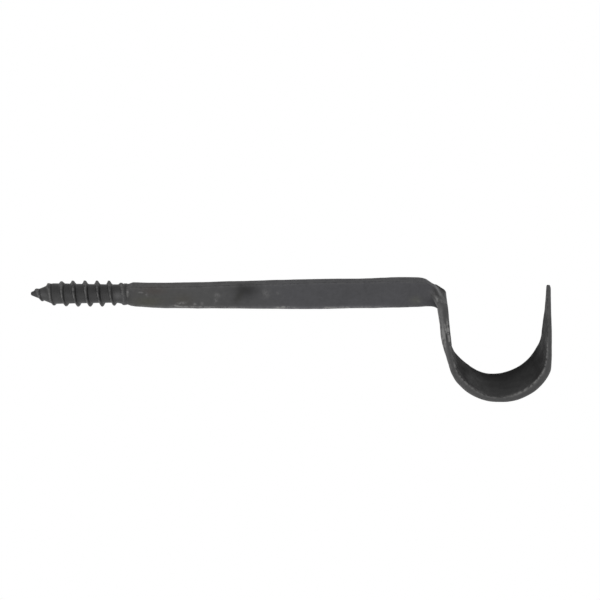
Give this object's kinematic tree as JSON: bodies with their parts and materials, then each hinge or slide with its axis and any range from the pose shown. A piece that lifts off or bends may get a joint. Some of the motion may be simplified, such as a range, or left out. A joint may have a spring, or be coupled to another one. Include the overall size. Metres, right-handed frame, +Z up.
{
  "type": "curtain hook",
  "caption": "Forged iron hook that screws into a wall and carries a curtain pole in an open cradle.",
  "frame": {"origin": "on the screw's axis, where the collar meets the face of the wall", "axes": "+X out from the wall along the shank, +Z up with the cradle opening upwards, +Y along the pole"},
  "size_m": [0.1632, 0.0142, 0.0412],
  "materials": {
    "iron": "blackened"
  },
  "bodies": {
    "root": {"hook": "iron"}
  },
  "joints": []
}
